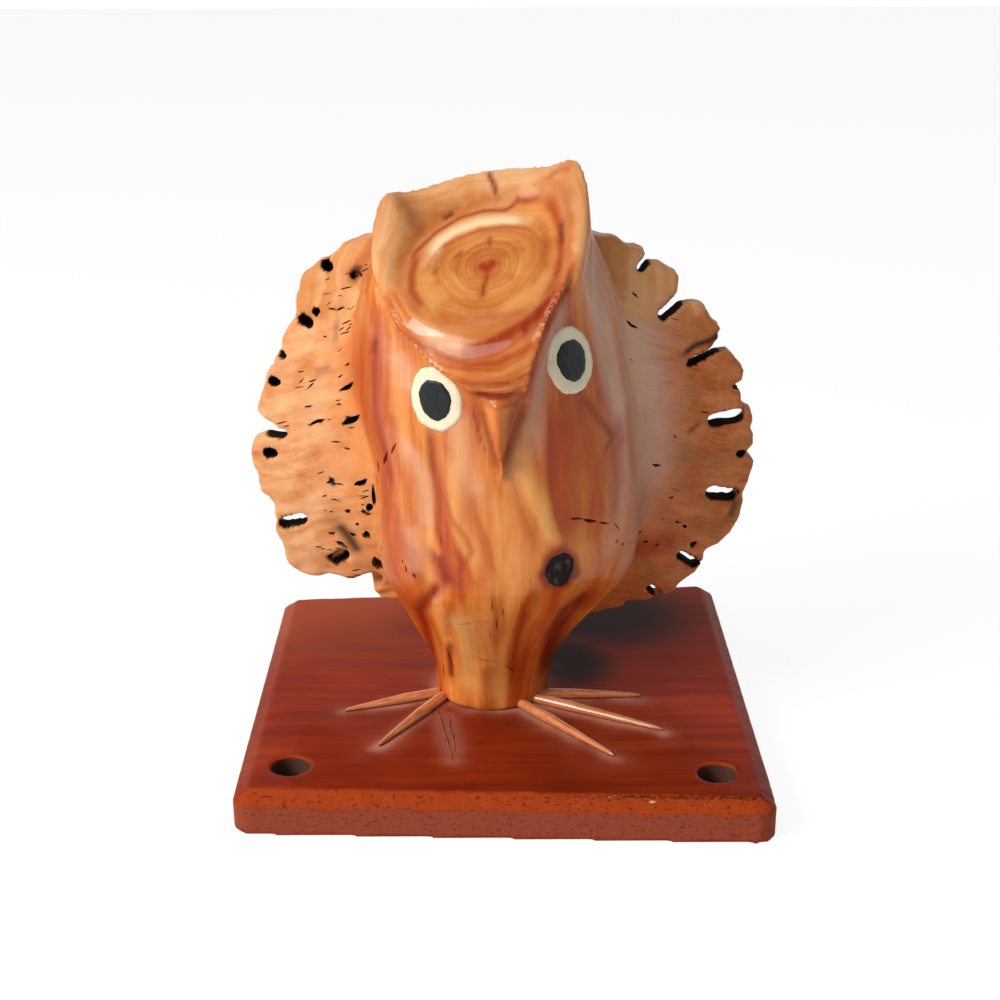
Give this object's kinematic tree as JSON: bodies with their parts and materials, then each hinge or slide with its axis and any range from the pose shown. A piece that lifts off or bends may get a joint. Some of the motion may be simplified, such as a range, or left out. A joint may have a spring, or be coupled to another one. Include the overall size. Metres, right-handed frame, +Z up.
{
  "type": "carved wooden figurine",
  "caption": "Carved wooden owl of branch and burl wood, with flared scalloped wings and painted eyes, on a bevelled lacquered plaque with pen sockets in its front corners.",
  "frame": {"origin": "middle of the plaque's flat underside, which rests on the table", "axes": "+Z up, the owl faces -Y, +X to the right of someone who looks at its face"},
  "size_m": [0.1535, 0.156, 0.1707],
  "materials": {
    "plaque_wood": "dark red-brown stain under glossy lacquer",
    "carved_wood": "varnished orange-brown wood with pale and deep red streaks, peach burl at the wings",
    "toe_wood": "lacquered light red-brown slivers",
    "cream_paint": "hand-brushed cream enamel",
    "black_paint": "hand-brushed black enamel",
    "screw_metal": "dull brass countersunk wood screws"
  },
  "bodies": {
    "root": {"base_board": "plaque_wood", "owl_figure": "carved_wood", "toe_left_outer": "toe_wood", "toe_left_inner": "toe_wood", "toe_right_back": "toe_wood", "toe_right_middle": "toe_wood", "toe_right_front": "toe_wood", "eye_white_left": "cream_paint", "eye_white_right": "cream_paint", "pupil_left": "black_paint", "pupil_right": "black_paint", "fixing_screws": "screw_metal"}
  },
  "joints": []
}
